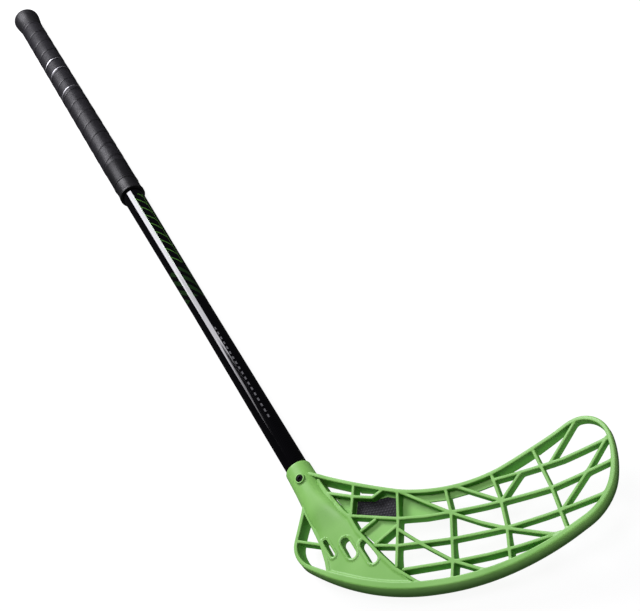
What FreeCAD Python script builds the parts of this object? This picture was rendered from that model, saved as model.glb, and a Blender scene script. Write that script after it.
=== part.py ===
import FreeCAD
import Part
import math
import os
import Sketcher

# Floorball stick lying with the hollow face of its blade up, in millimetres.
# The shaft's axis is the X axis, from the middle of the butt's end face at the origin
# towards the blade.  The blade's moulding direction is Z and the blade runs off to +Y.

Vector = FreeCAD.Vector
Rotation = FreeCAD.Rotation
Placement = FreeCAD.Placement

doc = FreeCAD.newDocument("floorball_stick")

# Driving dimensions

sizes = (
    # composite tube: straight under the grip, a cone below it, straight down to the blade
    ("shaft_length", 960.0),
    ("shaft_upper_dia", 24.4),
    ("shaft_lower_dia", 21.2),
    ("shaft_cone_length", 215.0),
    ("shaft_wall", 1.3),
    # butt cap: a cup pressed into the tube, with a flared skirt over the tube's end
    ("cap_head", 5.0),
    ("cap_dia", 35.2),
    ("cap_skirt_length", 33.0),
    ("cap_plug_length", 30.0),
    ("cap_wall", 2.2),
    ("cap_edge_radius", 3.6),
    # grip: a ribbon wound on the tube, a finishing band and a rubber end ring
    ("tape_thick", 2.65),
    ("tape_length", 368.0),
    ("tape_turns", 13.5),
    ("tape_seam", 0.9),
    ("band_length", 34.0),
    ("band_thick", 2.3),
    ("end_ring_length", 25.0),
    ("end_ring_thick", 2.9),
    ("end_ring_round", 1.2),
    # plug inside the tube that the blade's screw bites into
    ("plug_length", 46.0),
    # screw through the hosel
    ("screw_place", 17.5),
    ("screw_dia", 4.0),
    ("screw_length", 14.0),
    ("screw_head_dia", 6.8),
    ("screw_head_height", 2.4),
    ("screw_drive_width", 2.5),
    ("screw_drive_depth", 1.4),
    ("boss_dia", 10.6),
    ("boss_height", 1.0),
    # hosel and neck of the blade
    ("socket_depth", 54.0),
    ("hosel_wall", 1.5),
    ("neck_length", 52.0),
    ("neck_mid_width", 35.0),
    ("neck_mid_thick", 16.0),
    ("neck_end_width", 44.0),
    # blade
    ("blade_length", 295.0),
    ("blade_drop", 128.6),
    ("lie_angle", 60.0),
    ("hook_depth", 30.0),
    ("front_rise_heel", 8.2),
    ("front_rise_toe", 6.6),
    ("rim_width", 4.4),
    ("rim_heel_top_depth", 11.0),
    ("rim_toe_top_depth", 11.0),
    ("rim_heel_sole_depth", 19.0),
    ("rim_toe_sole_depth", 13.0),
    ("rib_width", 3.0),
    ("rib_step", 0.3),
    ("rib_heel_depth", 12.5),
    ("rib_toe_depth", 5.5),
    ("web_step", 8.0),
    ("web_thick", 2.0),
    ("leg_thick", 9.5),
    ("insert_step", 7.0),
    ("insert_thick", 1.3),
    # fits
    ("fit_gap", 0.15),
    ("screw_gap", 0.3),
    ("join_gap", 0.001),
    ("overrun", 6.0),
)

sheet = doc.addObject("Spreadsheet::Sheet", "sizes")
for row, (alias, value) in enumerate(sizes, start=1):
    sheet.set(f"A{row}", alias)
    sheet.set(f"B{row}", str(value))
    sheet.setAlias(f"B{row}", alias)
doc.recompute()


def size(alias):
    return float(sheet.get(alias))


# Formulas of the derived sizes, in the sheet's aliases

def cells(text):
    """The formula with each size in it written as the sheet's cell."""
    for alias in sorted((alias for alias, value in sizes), key=len, reverse=True):
        text = text.replace("$" + alias, "sizes." + alias)
    return text


def worth(text):
    """The number that a formula gives for the sheet's present values."""
    return sheet.evalExpression(cells(text).replace("sizes.", ""))


shaft_upper_radius = "$shaft_upper_dia / 2"
shaft_lower_radius = "$shaft_lower_dia / 2"
upper_bore_radius = f"({shaft_upper_radius} - $shaft_wall)"
lower_bore_radius = f"({shaft_lower_radius} - $shaft_wall)"
grip_inner_radius = f"({shaft_upper_radius} + $fit_gap)"
tape_radius = f"({grip_inner_radius} + $tape_thick)"
tape_end = "($cap_skirt_length + $tape_length)"
band_end = f"({tape_end} + $band_length)"
grip_end = f"({band_end} + $end_ring_length)"
cone_end = f"({grip_end} + $shaft_cone_length)"
shaft_end = "($cap_head + $shaft_length)"
hosel_mouth = f"({shaft_end} - $socket_depth)"
socket_radius = f"({shaft_lower_radius} + $fit_gap)"
hosel_radius = f"({socket_radius} + $hosel_wall)"
boss_top = f"({hosel_radius} + $boss_height)"
screw_axis = f"({hosel_mouth} + $screw_place)"
screw_seat = f"({boss_top} - $screw_head_height)"


# Makers of turned pieces and cutting tools

def turned(name, profile):
    """A body turned about X from a closed profile of (distance along the axis, radius) formulas."""
    body = doc.addObject("PartDesign::Body", name)
    sketch = body.newObject("Sketcher::SketchObject", name + "_profile")
    plane = next(f for f in body.Origin.OriginFeatures if f.Role == "XY_Plane")
    sketch.AttachmentSupport = [(plane, "")]
    sketch.MapMode = "FlatFace"
    points = [Vector(worth(along), worth(radius), 0) for along, radius in profile]
    count = len(points)
    for i in range(count):
        sketch.addGeometry(Part.LineSegment(points[i], points[(i + 1) % count]), False)
    for i in range(count):
        sketch.addConstraint(Sketcher.Constraint("Coincident", i, 2, (i + 1) % count, 1))
    for i, (along, radius) in enumerate(profile):
        for kind, axis, formula in (("DistanceX", -2, along), ("DistanceY", -1, radius)):
            if formula == "0":
                sketch.addConstraint(Sketcher.Constraint("PointOnObject", i, 1, axis))
                continue
            number = sketch.addConstraint(Sketcher.Constraint(kind, -1, 1, i, 1, worth(formula)))
            sketch.setExpression(f"Constraints[{number}]", cells(formula))
    turn = body.newObject("PartDesign::Revolution", name + "_turning")
    turn.Profile = sketch
    turn.ReferenceAxis = (sketch, ["H_Axis"])
    turn.Angle = 360
    doc.recompute()
    return body


def round_edges(body, places, radius):
    """Fillets the circular edges of a turned body at the given (along, radius) formulas."""
    wanted = [(worth(along), worth(distance)) for along, distance in places]
    names = []
    for number, edge in enumerate(body.Shape.Edges, start=1):
        if edge.Curve.TypeId != "Part::GeomCircle":
            continue
        found = (edge.Curve.Center.x, edge.Curve.Radius)
        if any(math.dist(found, place) < worth("$fit_gap") for place in wanted):
            names.append(f"Edge{number}")
    sharp = body.Tip
    fillet = body.newObject("PartDesign::Fillet", body.Name + "_round")
    fillet.Base = (sharp, names)
    fillet.setExpression("Radius", cells(radius))
    body.Tip = fillet
    doc.recompute()


def drill(name, radius, bottom, height):
    """A cylinder along Z on the screw's axis, given by formulas."""
    tool = doc.addObject("Part::Cylinder", name)
    tool.setExpression("Radius", cells(radius))
    tool.setExpression("Height", cells(height))
    tool.setExpression("Placement.Base.x", cells(screw_axis))
    tool.setExpression("Placement.Base.z", cells(bottom))
    return tool


def cut(name, base, tool):
    """Base less tool."""
    result = doc.addObject("Part::Cut", name)
    result.Base = base
    result.Tool = tool
    return result


def feature(name, shape, placement=Placement()):
    """A document object that holds a shape made by Part's own functions."""
    result = doc.addObject("Part::Feature", name)
    result.Shape = shape
    result.Placement = placement.multiply(shape.Placement)
    return result


# Shaft tube, with the hole that the screw passes through

screw_bore_radius = "($screw_dia / 2 + $screw_gap)"
screw_reach = f"({screw_seat} - $screw_length)"
bore_depth = "($screw_length + $screw_head_height + $overrun)"

tube_blank = turned("tube_blank", (
    ("$cap_head", shaft_upper_radius),
    (grip_end, shaft_upper_radius),
    (cone_end, shaft_lower_radius),
    (shaft_end, shaft_lower_radius),
    (shaft_end, lower_bore_radius),
    (cone_end, lower_bore_radius),
    (grip_end, upper_bore_radius),
    ("$cap_head", upper_bore_radius),
))
shaft_tube = cut("shaft_tube", tube_blank, drill("tube_drill", screw_bore_radius, "0", hosel_radius))

# Plug in the tube's lower end

plug_radius = f"({lower_bore_radius} - $fit_gap)"
plug_blank = turned("plug_blank", (
    (f"{shaft_end} - $plug_length", "0"),
    (f"{shaft_end} - $plug_length", plug_radius),
    (shaft_end, plug_radius),
    (shaft_end, "0"),
))
plug_drill = drill("plug_drill", screw_bore_radius, f"{screw_reach} - $screw_gap", bore_depth)
shaft_plug = cut("shaft_plug", plug_blank, plug_drill)

# Butt cap

cap_plug_radius = f"({upper_bore_radius} - $fit_gap)"
cap_plug_end = "($cap_head + $cap_plug_length)"
end_cap = turned("end_cap", (
    ("0", "0"),
    ("0", "$cap_dia / 2"),
    ("$cap_head", "$cap_dia / 2"),
    ("$cap_skirt_length", tape_radius),
    ("$cap_skirt_length", grip_inner_radius),
    ("$cap_head", grip_inner_radius),
    ("$cap_head", cap_plug_radius),
    (cap_plug_end, cap_plug_radius),
    (cap_plug_end, f"{cap_plug_radius} - $cap_wall"),
    ("$cap_head", f"{cap_plug_radius} - $cap_wall"),
    ("$cap_head", "0"),
))
round_edges(end_cap, (("0", "$cap_dia / 2"),), "$cap_edge_radius")

# Finishing band and rubber end ring

finishing_band = turned("finishing_band", (
    (tape_end, grip_inner_radius),
    (tape_end, f"{grip_inner_radius} + $band_thick"),
    (band_end, f"{grip_inner_radius} + $band_thick"),
    (band_end, grip_inner_radius),
))
end_ring_radius = f"({grip_inner_radius} + $end_ring_thick)"
grip_end_ring = turned("grip_end_ring", (
    (band_end, grip_inner_radius),
    (band_end, end_ring_radius),
    (grip_end, end_ring_radius),
    (grip_end, grip_inner_radius),
))
round_edges(grip_end_ring, ((band_end, end_ring_radius), (grip_end, end_ring_radius)), "$end_ring_round")

# Blade screw: a round head with a hexagon socket, on a plain shank

screw_tip_share = 0.25
screw_crown_share = 0.33
screw_tip = f"{screw_tip_share} * $screw_dia"
screw_head_top = "($screw_length + $screw_head_height)"
screw_blank = turned("screw_blank", (
    ("0", "0"),
    ("0", screw_tip),
    (screw_tip, "$screw_dia / 2"),
    ("$screw_length", "$screw_dia / 2"),
    ("$screw_length", "$screw_head_dia / 2"),
    ("$screw_length + $screw_head_height / 2", "$screw_head_dia / 2"),
    (screw_head_top, f"{screw_crown_share} * $screw_head_dia"),
    (screw_head_top, "0"),
))
screw_blank.Placement = Placement(Vector(), Rotation(Vector(0, 1, 0), -90))
screw_blank.setExpression("Placement.Base.x", cells(screw_axis))
screw_blank.setExpression("Placement.Base.z", cells(screw_reach))
screw_drive = doc.addObject("Part::Prism", "screw_drive")
screw_drive.Polygon = 6
screw_drive.setExpression("Circumradius", cells("$screw_drive_width / 2 / cos(30)"))
screw_drive.setExpression("Height", cells("$screw_drive_depth + $overrun"))
screw_drive.setExpression("Placement.Base.x", cells(screw_axis))
screw_drive.setExpression("Placement.Base.z", cells(f"{boss_top} - $screw_drive_depth"))
blade_screw = cut("blade_screw", screw_blank, screw_drive)

# Grip tape: one ribbon wound in turns, its two ends trimmed square to the shaft

tape_inner = worth(grip_inner_radius)
tape_outer = worth(tape_radius)
tape_start = size("cap_skirt_length")
tape_pitch = size("tape_length") / size("tape_turns")
ribbon_width = tape_pitch - size("tape_seam")
ribbon_section = Part.makePolygon([
    Vector(tape_inner, 0, -ribbon_width / 2),
    Vector(tape_outer, 0, -ribbon_width / 2),
    Vector(tape_outer, 0, ribbon_width / 2),
    Vector(tape_inner, 0, ribbon_width / 2),
    Vector(tape_inner, 0, -ribbon_width / 2),
])
one_turn = Part.Wire(Part.makeHelix(tape_pitch, tape_pitch, (tape_inner + tape_outer) / 2))
ribbon_turn = one_turn.makePipeShell([ribbon_section], True, True)
keep = Part.makeCylinder(tape_outer + size("overrun"), size("tape_length"))
turns = []
for number in range(-1, math.ceil(size("tape_turns")) + 1):
    turn = ribbon_turn.copy()
    turn.translate(Vector(0, 0, number * tape_pitch))
    if turn.BoundBox.ZMin < 0 or turn.BoundBox.ZMax > size("tape_length"):
        turns += turn.common(keep).Solids
    else:
        turns.append(turn)
wound = turns[0].multiFuse(turns[1:], size("join_gap"))
along_shaft = Placement(Vector(tape_start, 0, 0), Rotation(Vector(0, 1, 0), 90))
grip_tape = feature("grip_tape", wound.Solids[0], along_shaft)


def ribbon_edge(lift):
    """Points along one inner edge of the ribbon over a turn."""
    steps_per_turn = 180
    points = []
    for step in range(steps_per_turn + 1):
        turned_share = step / steps_per_turn
        angle = 2 * math.pi * turned_share
        points.append(Vector(tape_inner * math.cos(angle), tape_inner * math.sin(angle),
                             lift + tape_pitch * turned_share))
    return points


lower_turn = ribbon_edge(ribbon_width / 2)
upper_turn = ribbon_edge(tape_pitch - ribbon_width / 2)
seam = min((p - q).Length for p in lower_turn for q in upper_turn)
print(f"grip tape: {size('tape_turns')} turns, least gap between turns {seam:.2f} mm")

# Blade.  Its own frame has its first axis along the blade, its second square to that
# towards the shaft, and its origin in the middle of the hosel's mouth.  Places on it are
# shares of blade_length along and of blade_drop down from that origin.

blade_length = size("blade_length")
blade_drop = size("blade_drop")
overrun = size("overrun")
blade_frame = Placement(Vector(worth(hosel_mouth), 0, 0), Rotation(Vector(0, 0, 1), size("lie_angle")))
shaft_in_blade = Rotation(Vector(0, 0, 1), -size("lie_angle"))
tall = size("hook_depth") + size("rim_heel_sole_depth") + size("rim_toe_sole_depth")


def spot(shares, shift_shares=(0, 0)):
    """The point of the blade's middle plane at (share along, share down), moved by a shift."""
    along_share = shares[0] + shift_shares[0]
    down_share = shares[1] + shift_shares[1]
    return Vector(along_share * blade_length, -down_share * blade_drop, 0)


# What lies inside the rim stands this far towards the toe and the sole from its listed places
inner_shift_shares = (0.003, 0.009)


def path(points):
    return Part.Wire([Part.makeLine(p, q) for p, q in zip(points, points[1:])])


def plate(shares):
    """A flat face inside the rim with straight sides through the given shares."""
    points = [spot(share, inner_shift_shares) for share in shares]
    return Part.Face(path(points + points[:1]))


def stadium(start, end, width):
    """A flat strip between two points, with round ends."""
    forward = (end - start).normalize() * (width / 2)
    side = Vector(-forward.y, forward.x, 0)
    return Part.Face(Part.Wire([
        Part.makeLine(start - side, end - side),
        Part.Arc(end - side, end + forward, end + side).toShape(),
        Part.makeLine(end + side, start + side),
        Part.Arc(start + side, start - forward, start - side).toShape(),
    ]))


def pillar(face):
    """The face stretched along the moulding direction, past both sides of the blade."""
    lifted = face.copy()
    lifted.translate(Vector(0, 0, -tall))
    return lifted.extrude(Vector(0, 0, 2 * tall))


# Outline, round from the heel under the hosel: each stretch is an arc through a middle
# point to its end, or a straight line where there is no middle point.
outline_start_share = (0.033, 0.330)
outline_shares = (
    ((0.013, 0.464), (0.001, 0.582)),
    ((0.016, 0.669), (0.056, 0.744)),
    ((0.215, 0.912), (0.437, 1.000)),
    ((0.677, 0.954), (0.889, 0.816)),
    ((0.954, 0.739), (0.990, 0.614)),
    ((1.000, 0.456), (0.994, 0.299)),
    ((0.968, 0.205), (0.900, 0.145)),
    ((0.876, 0.156), (0.847, 0.178)),
    (None, (0.663, 0.319)),
    ((0.478, 0.367), (0.352, 0.326)),
    ((0.224, 0.230), (0.081, 0.093)),
    (None, (0.040, 0.150)),
    (None, outline_start_share),
)
outline_edges = []
reached = spot(outline_start_share)
for middle, end in outline_shares:
    target = spot(end)
    if middle is None:
        outline_edges.append(Part.makeLine(reached, target))
    else:
        outline_edges.append(Part.Arc(reached, spot(middle), target).toShape())
    reached = target
outline = Part.Face(Part.Wire(outline_edges))
rim = outline.cut(outline.makeOffset2D(-size("rim_width")))

# Ribs of the lattice, each a line of places
rib_shares = (
    ((0.640, 0.370), (0.985, 0.346)),
    ((0.184, 0.428), (0.338, 0.511), (0.420, 0.530), (0.810, 0.535), (0.987, 0.477)),
    ((0.268, 0.662), (0.334, 0.687), (0.502, 0.707), (0.668, 0.707), (0.964, 0.654)),
    ((0.350, 0.857), (0.670, 0.840), (0.797, 0.821)),
    ((0.341, 0.330), (0.340, 0.511), (0.329, 0.829)),
    ((0.490, 0.378), (0.504, 0.535), (0.500, 0.849), (0.492, 0.970)),
    ((0.638, 0.362), (0.660, 0.535), (0.671, 0.711), (0.668, 0.910)),
    ((0.766, 0.253), (0.810, 0.535), (0.838, 0.801)),
    ((0.354, 0.341), (0.504, 0.537), (0.668, 0.713), (0.800, 0.820)),
    ((0.342, 0.581), (0.417, 0.714), (0.500, 0.848), (0.596, 0.946)),
    ((0.543, 0.393), (0.660, 0.524)),
    ((0.660, 0.524), (0.723, 0.366)),
    ((0.815, 0.362), (0.898, 0.161)),
    ((0.834, 0.679), (0.906, 0.521), (0.982, 0.339)),
    ((0.268, 0.490), (0.222, 0.552)),
    ((0.337, 0.561), (0.268, 0.656)),
    ((0.009, 0.544), (0.086, 0.598)),
    ((0.121, 0.233), (0.198, 0.298), (0.260, 0.331), (0.290, 0.297)),
    ((0.200, 0.223), (0.190, 0.420)),
    ((0.087, 0.130), (0.134, 0.326), (0.184, 0.428)),
    ((0.029, 0.319), (0.060, 0.461), (0.086, 0.599), (0.103, 0.722), (0.113, 0.830)),
    ((0.184, 0.425), (0.215, 0.543), (0.277, 0.710), (0.325, 0.834), (0.393, 0.958)),
)
ribs = []
for line in rib_shares:
    places = [spot(share, inner_shift_shares) for share in line]
    ribs += [stadium(p, q, size("rib_width")) for p, q in zip(places, places[1:])]
smallest_cell_share = 2.0
smallest_cell = smallest_cell_share * size("rib_width") ** 2
between_ribs = outline.makeOffset2D(-size("rim_width") / 2).cut(ribs).Faces
open_cells = [cell for cell in between_ribs if cell.Area > smallest_cell]

# The cell that the insert fills, thin webs that close three others, and a shelf under the top rim
insert_cell_shares = (
    (0.196, 0.302), (0.260, 0.331), (0.272, 0.318), (0.300, 0.313),
    (0.341, 0.345), (0.340, 0.511), (0.190, 0.430),
)
web_shares = (
    ((0.121, 0.233), (0.198, 0.298), (0.190, 0.420), (0.177, 0.414)),
    ((0.352, 0.342), (0.504, 0.535), (0.339, 0.511)),
    ((0.268, 0.490), (0.339, 0.511), (0.337, 0.561), (0.268, 0.656), (0.222, 0.552)),
    ((0.385, 0.353), (0.420, 0.365), (0.478, 0.375), (0.541, 0.368), (0.633, 0.340), (0.633, 0.425),
     (0.587, 0.432), (0.541, 0.440), (0.485, 0.446), (0.434, 0.436), (0.388, 0.407)),
)
webs = [plate(shares) for shares in web_shares]

# Leg: the solid plate from the neck down to the sole, with long round-ended slots
leg_shares = (
    (0.029, 0.319), (0.060, 0.461), (0.086, 0.599), (0.103, 0.722), (0.113, 0.830), (0.118, 0.900),
    (0.400, 1.000), (0.325, 0.834), (0.277, 0.710), (0.215, 0.543), (0.184, 0.425), (0.087, 0.130),
)
# Each slot, in shares of blade_drop: its ends along the shaft's line, its place off that line, its width
slot_shares = (
    (0.620, 0.760, -0.085, 0.030),
    (0.700, 0.860, 0.030, 0.062),
    (0.800, 0.990, 0.145, 0.062),
)
leg = plate(leg_shares)
for start_share, end_share, off_share, width_share in slot_shares:
    ends = [shaft_in_blade.multVec(Vector(s, off_share, 0) * blade_drop) for s in (start_share, end_share)]
    leg = leg.cut(stadium(ends[0], ends[1], width_share * blade_drop))
leg = leg.common(outline)

# Hook: flat from the heel, then rising as the square of the distance to the toe
hook_start_share = 0.44


def hook_rise(along):
    """Height of the blade's middle surface at a distance along it."""
    start = hook_start_share * blade_length
    return size("hook_depth") * (max(along - start, 0) / (blade_length - start)) ** 2


def slab_side(across, step, heel_depth, toe_depth):
    """A slab's section along the blade: a step behind the front face, and deeper at one end."""
    start = hook_start_share * blade_length
    stations = (-overrun, start, (start + blade_length) / 2, blade_length + overrun)
    front = []
    back = []
    for along in stations:
        part = along / blade_length
        rise = size("front_rise_heel") + (size("front_rise_toe") - size("front_rise_heel")) * part
        depth = heel_depth + (toe_depth - heel_depth) * part
        front.append(Vector(along, across, hook_rise(along) + rise - step))
        back.append(Vector(along, across, hook_rise(along) + rise - step - depth))
    return Part.Wire([
        Part.makeLine(front[0], front[1]),
        Part.Arc(front[1], front[2], front[3]).toShape(),
        Part.makeLine(front[3], back[3]),
        Part.Arc(back[3], back[2], back[1]).toShape(),
        Part.makeLine(back[1], back[0]),
        Part.makeLine(back[0], front[0]),
    ])


def slab(step, top_depths, sole_depths):
    """The space behind the front face that follows the hook, as deep as given at heel and toe."""
    top = slab_side(overrun, step, *top_depths)
    sole = slab_side(-blade_drop - overrun, step, *sole_depths)
    return Part.makeLoft([top, sole], True, True)


def even_slab(step, thick):
    """A slab that is equally thick all over."""
    return slab(step, (thick, thick), (thick, thick))


rib_step = size("rib_step")
rib_depths = (size("rib_heel_depth"), size("rib_toe_depth"))
backing_step = size("insert_step") + size("insert_thick")
rim_slab = slab(0, (size("rim_heel_top_depth"), size("rim_toe_top_depth")),
                (size("rim_heel_sole_depth"), size("rim_toe_sole_depth")))
web_slab = even_slab(size("web_step"), size("web_thick"))
backing_slab = even_slab(backing_step, size("web_thick"))
moulded = [
    pillar(rim).common(rim_slab),
    pillar(outline).common(slab(rib_step, rib_depths, rib_depths)).cut([pillar(cell) for cell in open_cells]),
    pillar(leg).common(even_slab(rib_step, size("leg_thick"))),
]
moulded += [pillar(web).common(web_slab) for web in webs]
moulded.append(pillar(plate(insert_cell_shares)).common(backing_slab))

# Hosel and neck, along the shaft's line from the mouth
hosel_outer = worth(hosel_radius)
socket_depth = size("socket_depth")


def rounded_section(along, width, thick, lift):
    """A rounded oblong square to the shaft's line, wide across the blade, its middle at a height."""
    corner_share = 0.98
    corner = corner_share * min(width, thick) / 2
    flat_y = width / 2 - corner
    flat_z = thick / 2 - corner
    slant = corner * math.sqrt(0.5)
    edges = []
    corners = ((1, 1), (-1, 1), (-1, -1), (1, -1))
    for i, (y_side, z_side) in enumerate(corners):
        centre = Vector(along, y_side * flat_y, lift + z_side * flat_z)
        on_y = centre + Vector(0, y_side * corner, 0)
        on_z = centre + Vector(0, 0, z_side * corner)
        mid = centre + Vector(0, y_side * slant, z_side * slant)
        first, last = (on_y, on_z) if y_side == z_side else (on_z, on_y)
        if edges:
            edges.append(Part.makeLine(edges[-1].lastVertex(True).Point, first))
        edges.append(Part.Arc(first, mid, last).toShape())
    edges.append(Part.makeLine(edges[-1].lastVertex(True).Point, edges[0].firstVertex(True).Point))
    return Part.Wire(edges)


neck_start = socket_depth
neck_end = socket_depth + size("neck_length")
leg_lift = size("front_rise_heel") - rib_step - size("leg_thick") / 2
neck = Part.makeLoft([
    rounded_section(neck_start, 2 * hosel_outer, 2 * hosel_outer, 0),
    rounded_section((neck_start + neck_end) / 2, size("neck_mid_width"), size("neck_mid_thick"), leg_lift / 2),
    rounded_section(neck_end, size("neck_end_width"), size("leg_thick"), leg_lift),
], True, True)
hosel = Part.makeCylinder(hosel_outer, socket_depth, Vector(), Vector(1, 0, 0))
socket = Part.makeCylinder(worth(socket_radius), socket_depth, Vector(), Vector(1, 0, 0))
screw_at = Vector(size("screw_place"), 0, 0)
boss = Part.makeCylinder(size("boss_dia") / 2, worth(boss_top), screw_at)
head_pocket = Part.makeCylinder(size("screw_head_dia") / 2 + size("screw_gap"), overrun,
                                screw_at + Vector(0, 0, worth(screw_seat)))
shank_hole = Part.makeCylinder(worth(screw_bore_radius), worth(boss_top), screw_at)
along_line = Placement(Vector(), shaft_in_blade)
fixtures = [neck, hosel, boss]
tools = [socket, head_pocket, shank_hole]
for shape in fixtures + tools:
    shape.Placement = along_line.multiply(shape.Placement)

moulding = moulded[0].multiFuse(moulded[1:] + fixtures)
for tool in tools:
    moulding = moulding.cut(tool)
blade = feature("blade", max(moulding.Solids, key=lambda solid: solid.Volume), blade_frame)

# Soft insert that fills one cell of the lattice and lies on the web behind it

insert_face = plate(insert_cell_shares).makeOffset2D(-size("rib_width") / 2 - size("screw_gap"))
insert_solid = pillar(insert_face).common(even_slab(size("insert_step"), size("insert_thick")))
blade_insert = feature("blade_insert", insert_solid.Solids[0], blade_frame)

# Check and write every piece

doc.recompute()
nodes = (
    shaft_tube, shaft_plug, end_cap, grip_tape, finishing_band, grip_end_ring,
    blade, blade_insert, blade_screw,
)
for thing in doc.Objects:
    if "Invalid" in thing.State or "Error" in thing.State:
        raise RuntimeError(f"{thing.Name} failed: {thing.State}")
for node in nodes:
    if node.Shape.isNull() or not node.Shape.isValid():
        raise RuntimeError(f"{node.Name} has no valid shape")
os.makedirs("parts", exist_ok=True)
for node in nodes:
    node.Label = node.Name
    node.Shape.exportStep(f"parts/{node.Label}.step")
    box = node.Shape.BoundBox
    print(f"{node.Label}: {len(node.Shape.Solids)} solid, {node.Shape.Volume / 1000:.2f} cm3, "
          f"{box.XLength:.1f} x {box.YLength:.1f} x {box.ZLength:.1f} mm")
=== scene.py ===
import math

import bmesh
import bpy
import numpy as np
from mathutils import Matrix


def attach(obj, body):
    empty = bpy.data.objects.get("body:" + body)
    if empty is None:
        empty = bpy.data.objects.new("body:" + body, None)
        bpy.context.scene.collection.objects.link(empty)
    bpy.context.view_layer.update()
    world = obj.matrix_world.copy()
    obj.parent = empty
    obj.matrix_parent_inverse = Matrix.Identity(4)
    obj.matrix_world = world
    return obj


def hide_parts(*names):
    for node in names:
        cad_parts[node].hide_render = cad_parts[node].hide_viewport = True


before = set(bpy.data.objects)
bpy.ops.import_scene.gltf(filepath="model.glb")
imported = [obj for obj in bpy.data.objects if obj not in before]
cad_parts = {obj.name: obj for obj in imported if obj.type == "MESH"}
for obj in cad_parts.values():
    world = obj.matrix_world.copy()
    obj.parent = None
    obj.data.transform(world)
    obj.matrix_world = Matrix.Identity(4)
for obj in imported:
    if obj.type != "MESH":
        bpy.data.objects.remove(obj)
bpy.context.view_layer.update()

mm = 0.001
scene = bpy.context.scene
print("frame loaded:", len(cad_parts), "nodes")


# Meshes

def sCurve(value, low, high):
    # 0 below low, 1 above high, and an even S between
    part = np.clip((value - low) / (high - low), 0, 1)
    return part * part * (3 - 2 * part)


def ease(first, last, share):
    # straight from the first value to the last
    return first + (last - first) * share


def gridFaces(rows, cols, closeRows=False, closeCols=False):
    # quads between neighbouring rows and columns of a grid, carried round where it is closed
    i, j = np.indices((rows if closeRows else rows - 1, cols if closeCols else cols - 1))
    nextI = (i + 1) % rows
    nextJ = (j + 1) % cols
    corners = [i * cols + j, nextI * cols + j, nextI * cols + nextJ, i * cols + nextJ]
    return np.stack(corners, -1).reshape(-1, 4).tolist()


def buildPiece(name, shells, sharpAngle=38, mergeGap=2e-6, thinGap=1e-7):
    # shells of (points in mm, faces) in one mesh: points within the merge gap are joined, edges under the
    # thin gap dissolved and faces turned outwards; a gap of 0 leaves its step out
    points = []
    faces = []
    for shellPoints, shellFaces in shells:
        start = len(points)
        faces += [[corner + start for corner in face] for face in shellFaces]
        points += (np.reshape(shellPoints, (-1, 3)) * mm).tolist()
    mesh = bpy.data.meshes.new(name)
    mesh.from_pydata(points, [], faces)
    work = bmesh.new()
    work.from_mesh(mesh)
    if mergeGap:
        bmesh.ops.remove_doubles(work, verts=work.verts, dist=mergeGap)
    if thinGap:
        bmesh.ops.dissolve_degenerate(work, edges=work.edges, dist=thinGap)
    bmesh.ops.recalc_face_normals(work, faces=work.faces)
    work.to_mesh(mesh)
    work.free()
    piece = bpy.data.objects.new(name, mesh)
    scene.collection.objects.link(piece)
    softenEdges(piece, sharpAngle)
    return piece


def softenEdges(piece, sharpAngle):
    # smooth shading, kept sharp where faces meet at more than the angle
    piece.data.shade_smooth()
    piece.data.set_sharp_from_angle(angle=math.radians(sharpAngle))


def carve(piece, cutter, sharpAngle=38):
    # takes the cutter's space out of the piece
    tool = piece.modifiers.new("carve", "BOOLEAN")
    tool.operation = "DIFFERENCE"
    tool.solver = "EXACT"
    tool.object = cutter
    bpy.context.view_layer.update()
    graph = bpy.context.evaluated_depsgraph_get()
    result = bpy.data.meshes.new_from_object(piece.evaluated_get(graph))
    piece.modifiers.clear()
    piece.data = result
    bpy.data.objects.remove(cutter)
    softenEdges(piece, sharpAngle)


def uprightShell(radii, heights, angle, place, drawn=0.0, closed=False):
    # rings about an upright line: (x + r cos a + a draw along x, y + r sin a, z)
    x = place[0] + radii * np.cos(angle) + drawn
    y = place[1] + radii * np.sin(angle)
    z = np.repeat(np.reshape(heights, (-1, 1)), len(angle), 1)
    return np.stack([x, y, z], -1), gridFaces(len(radii), len(angle), closed, True)


def pin(x, radius, low, high, y=0.0, run=0.0, segments=48):
    # a round-ended cutter square to the blade, from one height to another, drawn out along x by a run
    angle = (np.arange(segments) + 0.5) * 2 * np.pi / segments
    radii = np.array([[0], [radius], [radius], [0]])
    drawn = np.sign(radii) * np.sign(np.cos(angle)) * run / 2
    return buildPiece("cutter", [uprightShell(radii, [low, low, high, high], angle, (x, y), drawn)])


def readPoints(mesh, key):
    # one row of three numbers per point of a mesh
    values = np.empty(len(mesh.vertices) * 3)
    mesh.vertices.foreach_get(key, values)
    return values.reshape(-1, 3)


def markPoints(piece, name, rule):
    # a number on every point of a mesh, worked out from its place in mm and its normal
    mesh = piece.data
    values = rule(readPoints(mesh, "co") / mm, readPoints(mesh, "normal"))
    mark = mesh.attributes.new(name, "FLOAT", "POINT")
    mark.data.foreach_set("value", values.astype(np.float32))


def fitPiece(piece, mat, body, slot, *nodes):
    # one material, the body it rides on, its slot in the record (not used) and the nodes it stands for
    piece.data.materials.clear()
    piece.data.materials.append(mat)
    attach(piece, body)
    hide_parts(*nodes)
    print(piece.name, len(piece.data.loops) - 2 * len(piece.data.polygons), "triangles")


def roundedLine(corners, cuts, steps=5):
    # a closed line of corners with each corner replaced by a curve that starts and ends a cut away from it:
    # p = (1-s)^2 a + 2 s (1-s) corner + s^2 b
    corners = np.asarray(corners, float)
    share = np.linspace(0, 1, steps)[:, None]
    rows = []
    for i, cut in enumerate(cuts):
        here = corners[i]
        if cut == 0:
            rows.append(here[None])
            continue
        before = corners[i - 1] - here
        after = corners[(i + 1) % len(corners)] - here
        a = here + before / np.linalg.norm(before) * cut
        b = here + after / np.linalg.norm(after) * cut
        rows.append((1 - share) ** 2 * a + 2 * share * (1 - share) * here + share ** 2 * b)
    return np.concatenate(rows)


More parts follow.
